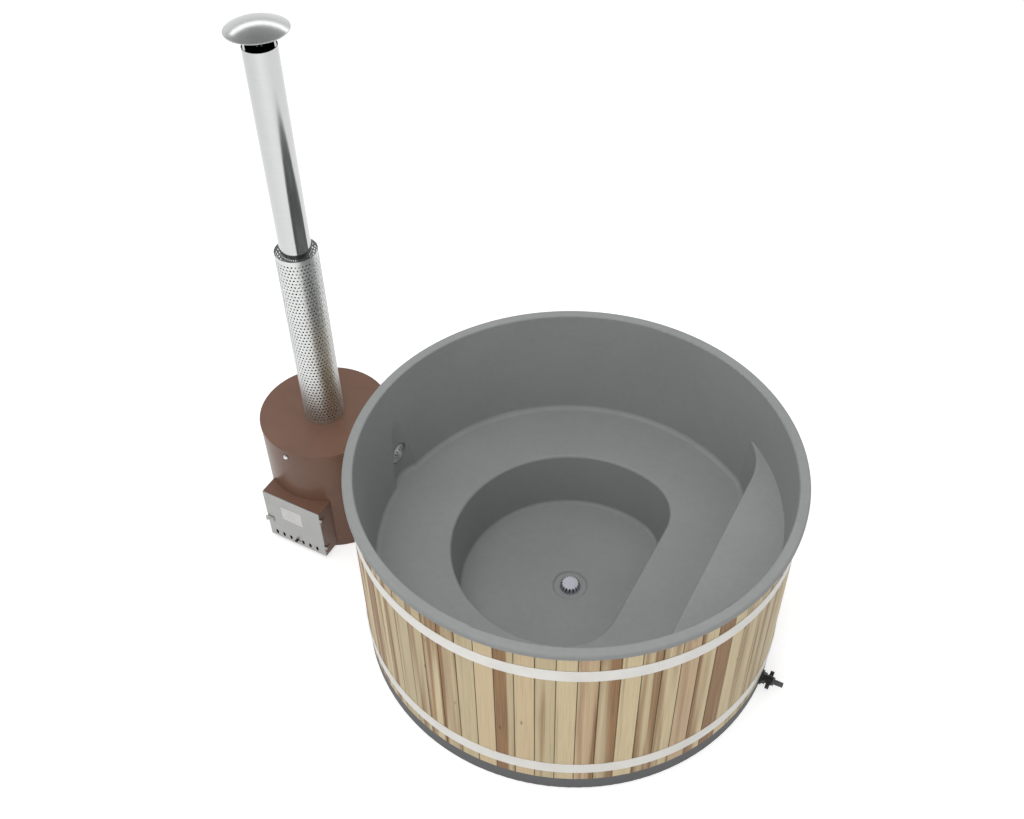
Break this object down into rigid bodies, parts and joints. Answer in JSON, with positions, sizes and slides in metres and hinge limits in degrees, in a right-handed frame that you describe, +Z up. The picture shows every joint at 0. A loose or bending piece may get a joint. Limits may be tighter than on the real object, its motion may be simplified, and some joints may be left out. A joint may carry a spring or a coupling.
{
  "type": "wood-fired hot tub",
  "caption": "Round outdoor hot tub: moulded liner with bench, raised seat and foot well in a hooped stave wall, with a wood stove and guarded flue beside it.",
  "frame": {"origin": "the tub's upright axis where it meets the ground", "axes": "+Z up; +X from the stove across the tub to the raised seat and the drain valve; the stove's fire door faces -Y"},
  "size_m": [2.6544, 1.904, 2.576],
  "materials": {
    "liner_plastic": "satin",
    "stave_wood": "matte",
    "hoop_coating": "satin",
    "zinc_steel": "satin",
    "base_plastic": "matte",
    "bearer_wood": "matte",
    "plywood": "matte",
    "polished_stainless": "polished",
    "grey_plastic": "satin",
    "black_plastic": "satin",
    "black_rubber": "matte",
    "black_steel": "matte",
    "stove_paint": "satin",
    "vessel_aluminium": "satin",
    "grate_iron": "matte",
    "brushed_stainless": "satin",
    "label_aluminium": "satin"
  },
  "bodies": {
    "tub": {"liner": "liner_plastic", "wall_staves": "stave_wood", "inlet_staves": "stave_wood", "upper_hoop": "hoop_coating", "lower_hoop": "hoop_coating", "hoop_bolts": "zinc_steel", "base_pan": "base_plastic", "floor_bearers": "bearer_wood", "floor_deck": "plywood", "bench_ribs": "plywood", "drain_body": "polished_stainless", "drain_nut": "grey_plastic", "drain_pipe": "grey_plastic", "valve_body": "black_plastic", "hose_tail": "grey_plastic", "return_fitting": "polished_stainless", "return_grille": "polished_stainless", "fitting_nuts": "grey_plastic", "drain_tee": "grey_plastic", "suction_pipe": "grey_plastic", "return_hose": "black_rubber", "suction_hose": "black_rubber", "hose_clamps": "zinc_steel", "stove_base": "black_steel", "stove_jacket": "stove_paint", "stove_lid": "stove_paint", "jacket_screws": "polished_stainless", "water_vessel": "vessel_aluminium", "vessel_legs": "black_steel", "firebox": "black_steel", "fire_grate": "grate_iron", "stoke_box": "stove_paint", "front_frame": "black_steel", "hinge_pins": "zinc_steel", "flue_collar": "brushed_stainless", "lower_flue_pipe": "brushed_stainless", "upper_flue_pipe": "brushed_stainless", "heat_guard": "brushed_stainless", "guard_spacers": "zinc_steel"},
    "fire_door": {"stoke_door": "brushed_stainless", "door_baffle": "black_steel", "baffle_spacers": "zinc_steel", "door_handle": "brushed_stainless", "label_plate": "label_aluminium", "slider_rails": "brushed_stainless"},
    "air_slider": {"air_slider": "brushed_stainless", "slider_knob": "black_plastic"},
    "valve_wing": {"valve_wing": "black_plastic"},
    "rain_cap": {"rain_cap": "brushed_stainless", "cap_bracket": "brushed_stainless"},
    "drain_strainer": {"drain_strainer": "polished_stainless"}
  },
  "joints": [
    {"name": "fire_door_hinge", "type": "hinge", "parent": "tub", "child": "fire_door", "pos_m": [-1.1535, -0.306, 0.18], "axis": [0, 0, 1], "range_deg": [0, 110]},
    {"name": "air_slide", "type": "slide", "parent": "fire_door", "child": "air_slider", "axis": [1, 0, 0], "range_m": [0, 0.02]},
    {"name": "valve_turn", "type": "hinge", "parent": "tub", "child": "valve_wing", "pos_m": [0.9694, 0, 0.05], "axis": [1, 0, 0], "range_deg": [0, 90]},
    {"name": "rain_cap_lift", "type": "slide", "parent": "tub", "child": "rain_cap", "axis": [0, 0, 1], "range_m": [0, 0.1]},
    {"name": "strainer_lift", "type": "slide", "parent": "tub", "child": "drain_strainer", "axis": [0, 0, 1], "range_m": [0, 0.04]}
  ]
}
